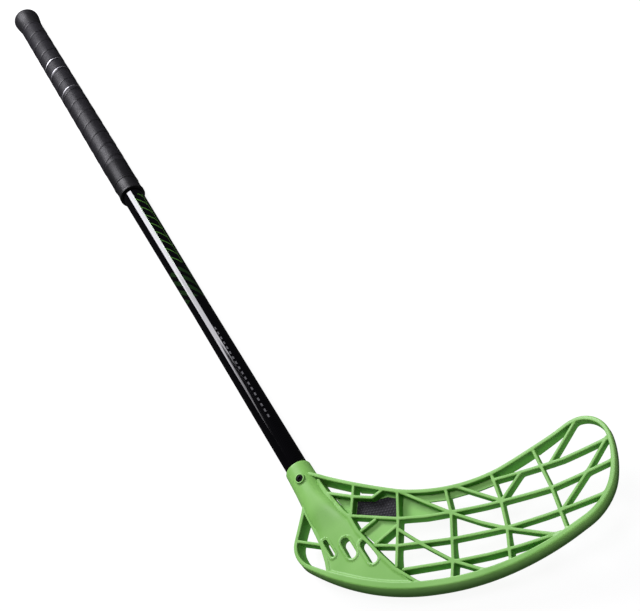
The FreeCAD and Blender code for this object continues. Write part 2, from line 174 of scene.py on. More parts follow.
def turnedShell(profile, segments=128, closed=True):
    # a profile of (x, r) turned about the shaft's line: (x, r cos a, r sin a)
    profile = np.asarray(profile, float)
    angle = np.linspace(0, 2 * np.pi, segments, endpoint=False)
    x = np.repeat(profile[:, :1], segments, 1)
    y = profile[:, 1:] * np.cos(angle)
    z = profile[:, 1:] * np.sin(angle)
    return np.stack([x, y, z], -1), gridFaces(len(profile), segments, closed, True)


# Finishes

def setInputs(node, inputs):
    # an input is a value or another node's output
    for socket, value in inputs.items():
        if isinstance(value, bpy.types.NodeSocket):
            node.id_data.links.new(value, node.inputs[socket])
        else:
            node.inputs[socket].default_value = value


def newFinish(name, colour, roughness):
    mat = bpy.data.materials.new(name)
    mat.use_nodes = True
    shader = mat.node_tree.nodes["Principled BSDF"]
    setInputs(shader, {"Base Color": (*colour, 1), "Roughness": roughness})
    return mat, shader


def addNode(mat, kind, inputs, **settings):
    node = mat.node_tree.nodes.new(kind)
    for key, value in settings.items():
        setattr(node, key, value)
    setInputs(node, inputs)
    return node


def objectPlace(mat):
    return addNode(mat, "ShaderNodeTexCoord", {}).outputs["Object"]


def noiseOf(mat, place, scale, detail, roughness=0.5):
    inputs = {"Vector": place, "Scale": scale, "Detail": detail, "Roughness": roughness}
    return addNode(mat, "ShaderNodeTexNoise", inputs).outputs["Fac"]


def rampOf(mat, value, stops):
    # a colour ramp of (place, colour)
    ramp = addNode(mat, "ShaderNodeValToRGB", {"Fac": value})
    for element, (place, colour) in zip(ramp.color_ramp.elements, stops):
        element.position = place
        element.color = (*colour, 1)
    return ramp.outputs["Color"]


def mixOf(mat, factor, first, second):
    # from the first colour, another node's output, to a plain second one
    return addNode(mat, "ShaderNodeMix", {0: factor, 6: first, 7: (*second, 1)}, data_type="RGBA").outputs[2]


def markOf(mat, name):
    # a number that the mesh carries on its points
    return addNode(mat, "ShaderNodeAttribute", {}, attribute_name=name).outputs["Fac"]


def mathOf(mat, operation, first, second=0.0):
    return addNode(mat, "ShaderNodeMath", {0: first, 1: second}, operation=operation).outputs[0]


def productOf(mat, first, second):
    return mathOf(mat, "MULTIPLY", first, second)


def below(mat, value, limit):
    return mathOf(mat, "LESS_THAN", value, limit)


def within(mat, value, low, high):
    # 1 where a value lies between two limits
    return productOf(mat, mathOf(mat, "GREATER_THAN", value, low), below(mat, value, high))


def awayFrom(mat, value, middle):
    return mathOf(mat, "ABSOLUTE", mathOf(mat, "SUBTRACT", value, middle))


def setGloss(shader, weight, roughness):
    # all the gloss is in the coat, so that its strength doesn't rise as much towards the edges
    setInputs(shader, {"Specular IOR Level": 0.0, "Coat IOR": 1.55})
    setInputs(shader, {"Coat Weight": weight, "Coat Roughness": roughness})


def mottled(name, look):
    # two tones in soft patches, with a fine grain in relief and gloss where the look has them. A look gives
    # patches and grain as noise scale, detail and roughness, tones as ramp stops, relief as height in m and
    # strength, the sockets that the grain goes to, and gloss as coat weight and roughness
    mat, shader = newFinish(name, look["base"], look["rough"])
    place = objectPlace(mat)
    tone = rampOf(mat, noiseOf(mat, place, *look["patches"]), look["tones"])
    setInputs(shader, {"Base Color": tone})
    if "grain" in look:
        height, strength = look["relief"]
        grain = noiseOf(mat, place, *look["grain"])
        bump = addNode(mat, "ShaderNodeBump", {"Height": grain, "Distance": height, "Strength": strength})
        setInputs(shader, {socket: bump.outputs["Normal"] for socket in look["grainOn"]})
    if "gloss" in look:
        setGloss(shader, *look["gloss"])
    return mat, shader, tone


bladeLook = dict(
    base=(0.155, 0.335, 0.088), rough=0.4, gloss=(0.42, 0.36),
    patches=(28, 4), tones=((0.3, (0.134, 0.314, 0.066)), (0.7, (0.174, 0.37, 0.092))),
    grain=(1200, 2), relief=(0.00006, 0.12), grainOn=("Normal",),
    # wall and sole: painted shade colours, for the inner walls and for low on the sole's outer wall
    wall=(0.105, 0.37, 0.048), sole=(0.044, 0.12, 0.022),
)


def bladePlastic():
    # light green moulding, slightly cloudy; painted shade: deeper green down the inner walls, darker low on
    # the sole
    mat, shader, tone = mottled("bladePlastic", bladeLook)
    # painted shade: a deeper, more saturated green down the inner walls, more of it deeper behind the front
    colour = mixOf(mat, markOf(mat, "wall"), tone, bladeLook["wall"])
    # painted shade: a darker green low on the sole's outer wall
    colour = mixOf(mat, markOf(mat, "sole"), colour, bladeLook["sole"])
    setInputs(shader, {"Base Color": colour})
    return mat


insertLook = dict(
    base=(0.008, 0.008, 0.01), rough=0.5, gloss=(0.2, 0.5),
    patches=(240, 3), tones=((0.3, (0.005, 0.005, 0.006)), (0.75, (0.012, 0.011, 0.015))),
    grain=(3000, 2), relief=(0.00008, 0.5), grainOn=("Normal",),
    dots=(0.035, 0.034, 0.04),
)


def insertRubber():
    # dark dull rubber, greyer on the tops of its dots
    mat, shader, tone = mottled("insertRubber", insertLook)
    setInputs(shader, {"Base Color": mixOf(mat, markOf(mat, "dots"), tone, insertLook["dots"])})
    return mat


# places along the shaft in m and per m, places round it in radians
lacquer = dict(
    base=(0.002, 0.002, 0.0024), rough=0.3, gloss=(0.35, 0.07),
    weave=260.0, waviness=0.4,
    weaveTones=((0.2, (0.0006, 0.0006, 0.0008)), (0.8, (0.0016, 0.0015, 0.002))),
    side=0.84, half=0.42, border=0.06, lines=62.0,
    lineRun=(0.472, 0.606), lineShare=0.12, lineColour=(0.03, 0.085, 0.014),
    bandRun=(0.612, 0.664), bandShare=0.5, bandColour=(0.005, 0.014, 0.004),
    dashRun=(0.713, 0.853), dashShare=0.5, dashColour=(0.07, 0.07, 0.073),
    dashes=130, dashSide=1.12, dashHalf=0.08,
)


def shaftLacquer():
    # gloss black lacquer over a faint diagonal weave, with a run of slanted green lines, a few broad dark
    # bands and a row of grey dashes
    mat, shader = newFinish("shaftLacquer", lacquer["base"], lacquer["rough"])
    place = objectPlace(mat)
    inputs = {"Vector": place, "Scale": lacquer["weave"], "Distortion": lacquer["waviness"]}
    wave = addNode(mat, "ShaderNodeTexWave", inputs, bands_direction="DIAGONAL")
    colour = rampOf(mat, wave.outputs["Fac"], lacquer["weaveTones"])
    split = addNode(mat, "ShaderNodeSeparateXYZ", {"Vector": place})
    along = split.outputs["X"]
    angle = mathOf(mat, "ARCTAN2", split.outputs["Z"], split.outputs["Y"])
    slant = mathOf(mat, "ADD", productOf(mat, along, lacquer["lines"]), angle)
    phase = mathOf(mat, "FRACT", slant)
    off = awayFrom(mat, angle, lacquer["side"])
    half = lacquer["half"]
    lines = productOf(mat, below(mat, phase, lacquer["lineShare"]), below(mat, off, half))
    border = within(mat, off, half, half + lacquer["border"])
    lines = mathOf(mat, "MAXIMUM", lines, border)
    bands = below(mat, phase, lacquer["bandShare"])
    dashPhase = mathOf(mat, "FRACT", productOf(mat, along, lacquer["dashes"]))
    onRow = below(mat, awayFrom(mat, angle, lacquer["dashSide"]), lacquer["dashHalf"])
    dashes = productOf(mat, below(mat, dashPhase, lacquer["dashShare"]), onRow)
    for kind, marks in (("line", lines), ("band", bands), ("dash", dashes)):
        marks = productOf(mat, marks, within(mat, along, *lacquer[kind + "Run"]))
        colour = mixOf(mat, marks, colour, lacquer[kind + "Colour"])
    setInputs(shader, {"Base Color": colour})
    setGloss(shader, *lacquer["gloss"])
    return mat


# rings: places along the shaft and half width in m, and how far they lean
tapeLook = dict(
    base=(0.007, 0.007, 0.0075), rough=0.44, gloss=(0.21, 0.42),
    patches=(150, 4), tones=((0.3, (0.005, 0.0048, 0.0056)), (0.7, (0.009, 0.0088, 0.0102))),
    grain=(1500, 3, 0.6), relief=(0.00012, 0.6), grainOn=("Normal", "Coat Normal"),
    rings=(0.147, 0.172, 0.223), ringHalf=0.0007, ringLean=0.31, ringColour=(0.22, 0.22, 0.23),
)


def gripTape():
    # matt dark tape with a fine grain and thin silver rings printed round it
    mat, shader, tone = mottled("gripTape", tapeLook)
    split = addNode(mat, "ShaderNodeSeparateXYZ", {"Vector": objectPlace(mat)})
    lean = productOf(mat, split.outputs["Y"], tapeLook["ringLean"])
    along = mathOf(mat, "ADD", split.outputs["X"], lean)
    rings = None
    for ringPlace in tapeLook["rings"]:
        ring = below(mat, awayFrom(mat, along, ringPlace), tapeLook["ringHalf"])
        rings = ring if rings is None else mathOf(mat, "MAXIMUM", rings, ring)
    colour = mixOf(mat, rings, tone, tapeLook["ringColour"])
    setInputs(shader, {"Base Color": colour, "Metallic": rings})
    return mat


# dull dark rubber, thin satin film, plain grey moulding inside the tube, and black oxide on steel
plainLooks = dict(
    capRubber=dict(
        base=(0.006, 0.006, 0.0065), rough=0.45, gloss=(0.22, 0.4),
        patches=(120, 4), tones=((0.3, (0.0045, 0.0045, 0.005)), (0.7, (0.0075, 0.0075, 0.008))),
        grain=(1900, 3), relief=(0.0001, 0.5), grainOn=("Normal", "Coat Normal"),
    ),
    bandFilm=dict(
        base=(0.005, 0.005, 0.0055), rough=0.4, gloss=(0.15, 0.42),
        patches=(90, 3), tones=((0.3, (0.004, 0.004, 0.0045)), (0.7, (0.0065, 0.0065, 0.007))),
        grain=(300, 3), relief=(0.0002, 0.4), grainOn=("Normal", "Coat Normal"),
    ),
    plugPlastic=dict(
        base=(0.05, 0.05, 0.05), rough=0.5,
        patches=(80, 3), tones=((0.3, (0.04, 0.04, 0.04)), (0.7, (0.065, 0.065, 0.065))),
    ),
    screwBlack=dict(
        base=(0.005, 0.005, 0.0055), rough=0.35, gloss=(0.05, 0.2),
        patches=(500, 3), tones=((0.35, (0.003, 0.003, 0.003)), (0.8, (0.009, 0.009, 0.009))),
    ),
)


def plainFinish(name):
    return mottled(name, plainLooks[name])[0]


# Shaft

shaft = dict(
    start=5.0, end=965.0, upper=12.3, lower=10.65, coneStart=460.0, coneEnd=675.0, wall=1.3,
    rows=241, round=160, holeFrom=4.0, holeTo=16.0,
)


def shaftTube():
    # radius falls evenly from the upper to the lower size along the cone; inner wall the same, less the wall
    x = np.linspace(shaft["start"], shaft["end"], shaft["rows"])
    fall = np.clip((x - shaft["coneStart"]) / (shaft["coneEnd"] - shaft["coneStart"]), 0, 1)
    outer = ease(shaft["upper"], shaft["lower"], fall)
    out = np.stack([x, outer], 1)
    inner = np.stack([x, outer - shaft["wall"]], 1)[::-1]
    tube = buildPiece("shaftTube", [turnedShell(np.concatenate([out, inner]), shaft["round"])])
    carve(tube, pin(screw["place"], screw["hole"], shaft["holeFrom"], shaft["holeTo"]))
    fitPiece(tube, shaftLacquer(), "stick", "shaft_lacquer", "shaft_tube")


# Grip

grip = dict(
    start=33.0, end=401.0, inner=12.35, outer=15.3, endRadius=15.0, turns=13.5,
    groove=0.34, grooveWidth=1.1, lap=0.3, lapEnd=0.9, across=30, crowding=1.8, round=96,
)


def gripWinding():
    # one ribbon wound on the shaft: at angle a and share c across, x = start + pitch (a / 2 pi + c - 1),
    # r = outer - groove e^-(distance to the ribbon's edge / groove width)^2 - lap (1 - S(c)).
    # Its ends are cut square, and rows crowd towards the ribbon's edges
    start, end, endRadius = grip["start"], grip["end"], grip["endRadius"]
    pitch = (end - start) / grip["turns"]
    dense = np.linspace(-1, 1, grip["across"] + 1)
    share = 0.5 + 0.5 * np.sign(dense) * (1 - (1 - np.abs(dense)) ** grip["crowding"])
    columns = int(round((grip["turns"] + 1) * grip["round"])) + 1
    turn = np.arange(columns) / grip["round"]
    turn, share = np.meshgrid(turn, share, indexing="ij")
    x = start + pitch * (turn + share - 1)
    edge = np.minimum(share, 1 - share) * pitch
    lift = grip["lap"] * (1 - sCurve(share, 0.0, grip["lapEnd"]))
    r = grip["outer"] - grip["groove"] * np.exp(-(edge / grip["grooveWidth"]) ** 2) - lift
    r = np.where((x <= start) | (x >= end), endRadius, r)
    x = np.clip(x, start, end)
    angle = 2 * np.pi * turn
    points = np.stack([x, r * np.cos(angle), r * np.sin(angle)], -1)
    ends = [(start, endRadius), (start, grip["inner"]), (end, grip["inner"]), (end, endRadius)]
    shells = [(points, gridFaces(*turn.shape)), turnedShell(ends, grip["round"], False)]
    winding = buildPiece("gripWinding", shells, 50)
    fitPiece(winding, gripTape(), "stick", "grip_tape", "grip_tape")


# cuts: how far each corner of a profile is rounded, from the bore at one end to the bore at the other
collar = dict(
    bandStart=401.0, bandEnd=435.0, bandRadius=14.95, bandCuts=(0, 0.5, 0.5, 0),
    ringEnd=460.0, ringRadius=15.25, ringCuts=(0, 0.7, 0.4, 0.3, 0.3, 0.4, 1.1, 0),
    bore=12.35, waist=0.7, upperBead=3.0, lowerBead=4.4, beadFall=0.8,
)


def gripCollar():
    # the band: a plain sleeve with soft edges; the ring: a sleeve with a raised bead at each end
    start, end, radius, bore = collar["bandStart"], collar["bandEnd"], collar["bandRadius"], collar["bore"]
    corners = [(start, bore), (start, radius), (end, radius), (end, bore)]
    band = buildPiece("finishingBand", [turnedShell(roundedLine(corners, collar["bandCuts"]))])
    fitPiece(band, plainFinish("bandFilm"), "stick", "band_film", "finishing_band")
    start, end, radius = collar["bandEnd"], collar["ringEnd"], collar["ringRadius"]
    low = radius - collar["waist"]
    upper = start + collar["upperBead"]
    lower = end - collar["lowerBead"]
    corners = [
        (start, bore), (start, radius), (upper, radius), (upper + collar["beadFall"], low),
        (lower - collar["beadFall"], low), (lower, radius), (end, radius), (end, bore),
    ]
    ring = buildPiece("gripEndRing", [turnedShell(roundedLine(corners, collar["ringCuts"]))])
    fitPiece(ring, plainFinish("capRubber"), "stick", "cap_rubber", "grip_end_ring")


# face: (x, r) from the middle of the end out over its shallow ring
cap = dict(
    radius=17.8, edge=1.9, skirt=33.0, skirtRadius=15.2, skirtEdge=(0.8, 0.6), flare=0.9,
    head=5.0, bore=12.35, cup=35.0, cupOuter=10.75, cupInner=8.6,
    face=((0, 0), (0, 8.6), (0.45, 9.0), (0.45, 10.0), (0, 10.4)),
)


def buttCap():
    # flat end with a shallow ring, round edge, then a flare:
    # r = skirt radius + (radius - skirt radius)(1 + cos(pi s^flare)) / 2
    edge, radius, skirt, skirtRadius = cap["edge"], cap["radius"], cap["skirt"], cap["skirtRadius"]
    head, cup, outer, inner = cap["head"], cap["cup"], cap["cupOuter"], cap["cupInner"]
    angle = np.linspace(0, np.pi / 2, 9)
    nose = np.stack([edge * (1 - np.cos(angle)), radius - edge * (1 - np.sin(angle))], 1)
    share = np.linspace(0, 1, 24)[1:]
    edgeRun, edgeFall = cap["skirtEdge"]
    x = edge + (skirt - edgeRun - edge) * share
    r = skirtRadius + (radius - skirtRadius) * (1 + np.cos(np.pi * share ** cap["flare"])) / 2
    inside = [
        (skirt, skirtRadius - edgeFall), (skirt, cap["bore"]), (head, cap["bore"]),
        (head, outer), (cup, outer), (cup, inner), (head, inner), (head, 0),
    ]
    profile = np.concatenate([cap["face"], nose, np.stack([x, r], 1), inside])
    piece = buildPiece("buttCap", [turnedShell(profile, 128, False)])
    fitPiece(piece, plainFinish("capRubber"), "stick", "cap_rubber", "end_cap")


# Screw

# headFoot and headTop: roundings of the head's corners, from its radius and from its seat or top
screw = dict(
    place=928.5, seat=10.85, headRadius=3.4, headHeight=2.4, shank=2.0, length=14.0,
    drive=1.45, driveDepth=1.4, pitch=0.9, threadDepth=0.42, tip=0.9, taper=2.5, tipShare=0.65,
    headFoot=((-0.2, 0), (0, 0.2)), headTop=((0, -0.7), (-0.1, -0.35), (-0.4, -0.1), (-0.8, 0)),
    hole=2.3, headHole=3.6,
)


def bladeScrew():
    # turned head with a six-sided socket, and a shank whose radius rises and falls with z / pitch - a / 2 pi
    segments = 96
    angle = np.linspace(0, 2 * np.pi, segments, endpoint=False)
    seat, radius, tip = screw["seat"], screw["headRadius"], screw["tip"]
    top = seat + screw["headHeight"]
    inner = screw["drive"] * math.cos(math.pi / 6) / np.cos((angle + np.pi / 6) % (np.pi / 3) - np.pi / 6)
    z = np.linspace(seat - screw["length"] + tip, seat - 0.6, 130)
    phase = (z[:, None] / screw["pitch"] - angle / (2 * np.pi)) % 1
    thread = screw["shank"] - screw["threadDepth"] * np.abs(2 * phase - 1)
    thread *= ease(screw["tipShare"], 1, sCurve(z, z[0], z[0] + screw["taper"]))[:, None]
    flat = np.ones(segments)
    shank = flat * screw["shank"]
    rows = [(flat * 0, z[0] - tip), (thread[0] * 0.6, z[0] - 0.6), *zip(thread, z)]
    rows += [(shank, seat - 0.3), (shank, seat)]
    for level, corners in ((seat, screw["headFoot"]), (top, screw["headTop"])):
        rows += [(flat * (radius + r), level + rise) for r, rise in corners]
    floor = top - screw["driveDepth"]
    rows += [(inner + 0.22, top), (inner, top - 0.2), (inner, floor), (flat * 0, floor - 0.35)]
    radii, heights = zip(*rows)
    shell = uprightShell(np.stack(radii), heights, angle, (screw["place"], 0.0))
    piece = buildPiece("bladeScrew", [shell], 30)
    fitPiece(piece, plainFinish("screwBlack"), "screw", "screw_black", "blade_screw")


# Blade

# sizes in mm; shift moves all that lies inside the rim, in shares of length and drop
blade = dict(
    mouth=911.0, lie=60.0, length=295.0, drop=128.6, hook=30.0, hookStart=0.44,
    frontHeel=8.2, frontToe=6.6, shift=(0.003, 0.009), step=0.72, blend=0.6,
    rimTop=3.5, rimSole=6.6, rimToe=0.3,
    depthTop=16.5, depthToe=10.0, depthSoleHeel=21.5, depthSoleToe=11.6,
    rib=2.9, ribShift=(-0.3, 0.2), ribStep=0.3, ribHeel=15.5, ribToe=9.0, ribFall=1.6, ribSole=3.5,
    leg=9.5, legStep=0.8, lip=0.85, lipPlace=1.7, lipWidth=1.1, climb=1.2,
    ribEdge=0.9, edgeShare=0.28, edgeToe=0.3, edgeSole=1.1, shoulder=(18, 42, 66, 90),
    bulge=2.7, bulgeFade=0.65, bulgeRows=(0.9, 0.8), draft=2.8, draftRows=(0.5, 1.0),
    notchHalf=5.5, notchEnd=55, bore=11.1, boreEnd=57, cover=2.6,
)
# where S-curves start and end: along and down the blade in shares, or as distances in mm
runs = dict(
    rimDown=(0.3, 0.85), rimAlong=(0.0, 0.2), toe=(0.9, 0.97), softDown=(0.55, 0.75), softAlong=(0.5, 0.8),
    seam=(-0.8, 0.8), bars=(-0.2, 1.6), climbOff=(5, 34), climbAlong=(24, 34),
    topAlong=(0.72, 0.95), depthDown=(0.45, 0.95), ribDown=(0.74, 0.9), legRibs=(-0.5, 1.0),
    bulgeAlong=(0.25, 0.85), draftIn=(-6.5, -5.0), draftAlong=(0.17, 0.27), draftDown=(0.4, 0.5),
    wallSteep=(0.1, 0.8), wallDeep=(0.5, 7.0), wallOut=(-2.6, -1.0), hoselAlong=(60, 95), hoselOff=(15, 19),
    soleOut=(-3.0, -1.0), soleDeep=(1.5, 6.0), soleFacing=(0.2, 0.6),
)
# places in thousandths of length and drop: a run of the outline has a point on its arc, or none, and its end
outlineStart = (29, 328)
outlineArcs = (
    ((14, 463), (0, 582)), ((11, 680), (51, 764)), ((214, 931), (438, 1012)),
    ((678, 965), (889, 817)), ((952, 736), (991, 612)), ((1004, 456), (998, 297)),
    ((972, 196), (900, 136)), ((875, 149), (846, 177)), (None, (662, 312)),
    ((490, 358), (353, 320)), ((225, 222), (60, 69)), (None, (46, 55)),
    (None, (34, 150)), (None, outlineStart),
)
ribPlaces = (
    ((640, 380), (850, 368), (985, 330)),
    ((182, 430), (338, 511), (420, 530), (600, 535), (810, 528), (987, 474)),
    ((268, 668), (334, 694), (502, 710), (668, 709), (790, 691), (964, 656)),
    ((350, 857), (490, 857), (610, 854), (700, 842), (818, 820)),
    ((341, 325), (340, 511), (329, 829)),
    ((490, 365), (503, 535), (499, 849), (492, 970)),
    ((632, 325), (656, 535), (666, 705), (667, 910)),
    ((765, 248), (808, 528), (838, 805)),
    ((354, 336), (504, 539), (590, 640), (668, 716), (822, 838)),
    ((342, 590), (417, 724), (500, 854), (596, 954)),
    ((526, 370), (660, 532)),
    ((658, 527), (721, 378)),
    ((815, 362), (898, 155)),
    ((834, 677), (906, 517), (983, 324)),
    ((268, 490), (222, 552)),
    ((333, 561), (264, 660)),
    ((6, 544), (88, 598)),
    ((119, 243), (198, 300), (260, 332), (290, 294)),
    ((200, 218), (190, 420)),
    ((82, 133), (129, 330), (182, 432)),
    ((30, 319), (62, 461), (91, 599), (107, 722), (115, 830)),
    ((182, 430), (210, 550), (272, 717), (322, 839), (393, 958)),
)
legPlaces = (
    (30, 319), (62, 461), (91, 599), (107, 722), (115, 830), (118, 900),
    (400, 1000), (322, 839), (272, 717), (210, 550), (182, 430), (82, 133),
)
insertPlaces = (
    (196, 302), (260, 331), (272, 318), (300, 313), (341, 345), (340, 511), (190, 430),
)
webPlaces = (
    ((121, 233), (198, 298), (190, 420), (177, 414)),
    ((352, 342), (504, 535), (339, 511)),
    ((268, 490), (339, 511), (337, 561), (268, 656), (222, 552)),
    ((385, 345), (420, 355), (478, 363), (541, 354), (633, 327), (633, 395),
     (587, 410), (541, 415), (485, 425), (434, 418), (388, 393)),
)
# slots in the leg: from and to along the shaft's line, place off that line, half width, all in mm
slotRuns = ((79.7, 97.7, -10.9, 1.95), (90.0, 110.6, 3.9, 4.0), (103.5, 126.5, 17.5, 4.0))

lieCos = math.cos(math.radians(blade["lie"]))
lieSin = math.sin(math.radians(blade["lie"]))


def bladeSpots(thousandths, inner=True):
    # thousandths along and down the blade as (t, v) in mm; what lies inside the rim has a common shift
    shares = np.asarray(thousandths, float) / 1000
    if inner:
        shares = shares + blade["shift"]
    return shares * (blade["length"], -blade["drop"])


def toShaft(tv):
    # (t, v) as distance along the shaft's line from the mouth, and off it
    return tv[:, 0] * lieCos - tv[:, 1] * lieSin, tv[:, 0] * lieSin + tv[:, 1] * lieCos


def toFrame(tv, z):
    # (t, v) turned by the lie angle about the hosel's mouth, at a height
    along, off = toShaft(tv)
    return np.stack([blade["mouth"] + along, off, z], -1)


def fromShaft(along, off):
    # distances along and off the shaft's line as (t, v)
    return np.stack([along * lieCos + off * lieSin, off * lieCos - along * lieSin], -1)


def bladeShares(points):
    # (t, v) as shares of the blade's length and drop
    return points[:, 0] / blade["length"], -points[:, 1] / blade["drop"]


def arcThrough(a, m, b, steps):
    # the circle through three points, from a over m to b, as complex numbers:
    # with w = (b - a) / (m - a) its centre is a + (m - a)(w - |w|^2) / (w - conjugate of w)
    a, m, b = [complex(*p) for p in (a, m, b)]
    w = (b - a) / (m - a)
    centre = a + (m - a) * (w - abs(w) ** 2) / (w - w.conjugate())
    mid, turn = [np.angle((p - centre) / (a - centre)) % (2 * np.pi) for p in (m, b)]
    if mid > turn:
        turn -= 2 * np.pi
    line = centre + (a - centre) * np.exp(1j * turn * np.linspace(0, 1, steps, endpoint=False))
    return np.stack([line.real, line.imag], -1)


def bladeOutline(arcSteps=60, runSteps=40, count=320):
    # the rim's outer line: arcs and straight runs, spaced evenly and averaged twice over a few mm
    reached = bladeSpots(outlineStart, False)
    runs = []
    for middle, end in outlineArcs:
        target = bladeSpots(end, False)
        if middle is None:
            runs.append(reached + (target - reached) * np.linspace(0, 1, runSteps, endpoint=False)[:, None])
        else:
            runs.append(arcThrough(reached, bladeSpots(middle, False), target, arcSteps))
        reached = target
    line = np.concatenate(runs)
    closed = np.concatenate([line, line[:1]])
    length = np.concatenate([[0], np.cumsum(np.linalg.norm(np.diff(closed, axis=0), axis=1))])
    even = np.linspace(0, length[-1], count, endpoint=False)
    line = np.stack([np.interp(even, length, closed[:, k]) for k in (0, 1)], -1)
    weights = np.array([1, 4, 6, 4, 1]) / 16
    for _ in range(2):
        line = sum(weight * np.roll(line, shift, 0) for weight, shift in zip(weights, range(-2, 3)))
    return line


def inLots(points, lines, pairs=3000000):
    # numbers of the points in lots small enough to be set against all the lines at once
    return np.array_split(np.arange(len(points)), 1 + len(points) * len(lines) // pairs)


def lineDistance(points, starts, ends):
    # least distance from each point to some segments, by the foot of the point on each, held between its ends
    run = ends - starts
    square = (run * run).sum(-1)
    least = np.empty(len(points))
    for lot in inLots(points, starts):
        offset = points[lot][:, None] - starts
        share = np.clip((offset * run).sum(-1) / square, 0, 1)
        least[lot] = np.linalg.norm(offset - run * share[..., None], axis=-1).min(1)
    return least


def shapeField(points, corners):
    # distance to a closed outline, negative inside it, which is where a line along +t crosses the outline
    # an odd number of times
    ends = np.roll(corners, -1, 0)
    gap = lineDistance(points, corners, ends)
    rise = np.where(ends[:, 1] == corners[:, 1], 1e-12, ends[:, 1] - corners[:, 1])
    for lot in inLots(points, corners):
        t, v = points[lot].T[..., None]
        straddles = (corners[:, 1] > v) != (ends[:, 1] > v)
        crossing = corners[:, 0] + (v - corners[:, 1]) * (ends[:, 0] - corners[:, 0]) / rise
        hits = (straddles & (t < crossing)).sum(1)
        gap[lot] *= 1 - 2 * (hits % 2)
    return gap


def fieldSlope(field, points, reach=0.02):
    # how the field changes along t and along v, from its values a little to each side
    t = np.array([reach, 0])
    v = np.array([0, reach])
    rises = [field(points + t) - field(points - t), field(points + v) - field(points - v)]
    return np.stack(rises, -1) / (2 * reach)


def snappedPlate(field, low, high, step):
    # a square grid of triangles; points next to the line where the field is 0 are drawn onto it,
    # and the triangles within it are kept. Gives points, triangles and border edges
    places = [np.arange(first, last, step) for first, last in zip(low, high)]
    grid = np.stack(np.meshgrid(*places, indexing="ij"), -1)
    rows, cols = grid.shape[:2]
    points = grid.reshape(-1, 2).copy()
    value = field(points)
    number = np.arange(rows * cols).reshape(rows, cols)
    a, b, c, d = number[:-1, :-1], number[1:, :-1], number[1:, 1:], number[:-1, 1:]   # round each square
    steps = ((number[:-1], number[1:]), (number[:, :-1], number[:, 1:]), (a, c))
    pairs = np.concatenate([np.stack([p.ravel(), q.ravel()], 1) for p, q in steps])
    pairs = pairs[value[pairs[:, 0]] * value[pairs[:, 1]] < 0]
    one = pairs.ravel()
    other = pairs[:, ::-1].ravel()
    share = value[one] / (value[one] - value[other])
    near = share <= 0.5
    one, other, share = one[near], other[near], share[near]
    move = (points[other] - points[one]) * share[:, None]
    order = np.argsort(-np.linalg.norm(move, axis=1))   # the nearest crossing is written last
    target = points[one] + move
    points[one[order]] = target[order]
    onLine = np.zeros(len(points), bool)
    onLine[one] = True
    line = points[onLine]
    most = 0.3 * step   # a point's longest move in a round
    for _ in range(2):
        slope = fieldSlope(field, line)
        drift = field(line) / np.clip((slope ** 2).sum(1), 0.2, None)
        line = line - slope * np.clip(drift, -most, most)[:, None]
    points[onLine] = line
    outside = (value > 0) & ~onLine
    triangles = np.concatenate([np.stack(three, -1).reshape(-1, 3) for three in ((a, b, c), (a, c, d))])
    triangles = triangles[~outside[triangles].any(1)]
    allOn = onLine[triangles].all(1)
    kept = ~allOn
    kept[allOn] = field(points[triangles[allOn]].mean(1)) < -0.02
    triangles = triangles[kept]
    used, triangles = np.unique(triangles, return_inverse=True)
    points = points[used]
    triangles = triangles.reshape(-1, 3)
    edges = np.concatenate([triangles[:, [0, 1]], triangles[:, [1, 2]], triangles[:, [2, 0]]])
    _, place, count = np.unique(np.sort(edges, 1), axis=0, return_index=True, return_counts=True)
    return points, triangles, edges[place[count == 1]]


def plateShell(plate, field, front, back, radius, bulge=None, shoulder=(90,), foot=(90,)):
    # a plate with rounded edges: front and back layers over the same points, and rows down the wall between:
    # at angle a a row lies radius sin a outside the border and radius (1 - cos a) below the layer; a bulge
    # adds a row half way down and says how far that row and the foot stand out
    points, triangles, border = plate
    rim = np.unique(border)
    where = np.full(len(points), -1)
    where[rim] = np.arange(len(rim))
    rimPoints = points[rim]
    slope = fieldSlope(field, rimPoints)
    slope /= np.linalg.norm(slope, axis=1, keepdims=True).clip(0.2)
    top = front(points)
    base = back(points)
    rimTop = top[rim]
    rimBase = base[rim]
    curve = radius(rimPoints) if callable(radius) else np.full(len(rim), radius)
    swell = np.zeros((len(rim), 2)) if bulge is None else bulge(rimPoints, slope)
    rows = []
    for angle in np.radians(shoulder):
        out = curve * math.sin(angle)
        rows.append((rimPoints + slope * out[:, None], rimTop - curve * (1 - math.cos(angle))))
    if bulge is not None:
        z = rimTop - curve + (rimBase - rimTop + 2 * curve) * 0.5
        rows.append((rimPoints + slope * (curve + swell[:, 0])[:, None], z))
    for angle in np.radians(foot):
        out = curve * math.sin(angle) + swell[:, 1]
        rows.append((rimPoints + slope * out[:, None], rimBase + curve * (1 - math.cos(angle))))
    count = len(points)
    layers = [toFrame(points, top), toFrame(points, base)] + [toFrame(tv, z) for tv, z in rows]
    start = [2 * count + k * len(rim) for k in range(len(rows))]
    a, b = border.T
    rings = [(a, b)] + [(where[a] + s, where[b] + s) for s in start] + [(a + count, b + count)]
    walls = [np.stack([p[0], q[0], q[1], p[1]], -1) for p, q in zip(rings, rings[1:])]
    faces = triangles.tolist() + (triangles[:, ::-1] + count).tolist() + np.concatenate(walls).tolist()
    return np.concatenate(layers), faces


outlinePoints = bladeOutline()
ribLines = [bladeSpots(line) + blade["ribShift"] for line in ribPlaces]
legCorners = bladeSpots(legPlaces)
insertCorners = bladeSpots(insertPlaces)


def frontHeight(points):
    # straight from heel to toe, plus the hook: flat from the heel, then rising as the square of the distance
    along = points[:, 0] / blade["length"]
    past = np.clip(along - blade["hookStart"], 0, None) / (1 - blade["hookStart"])
    return ease(blade["frontHeel"], blade["frontToe"], along) + blade["hook"] * past ** 2


def rimWidth(points):
    # narrow along the top and round the heel, growing as an S to the sole and to the toe
    along, down = bladeShares(points)
    low = sCurve(down, *runs["rimDown"]) * sCurve(along, *runs["rimAlong"])
    toe = sCurve(along, *runs["toe"])
    return ease(blade["rimTop"], blade["rimSole"], low) + blade["rimToe"] * toe * (1 - low)


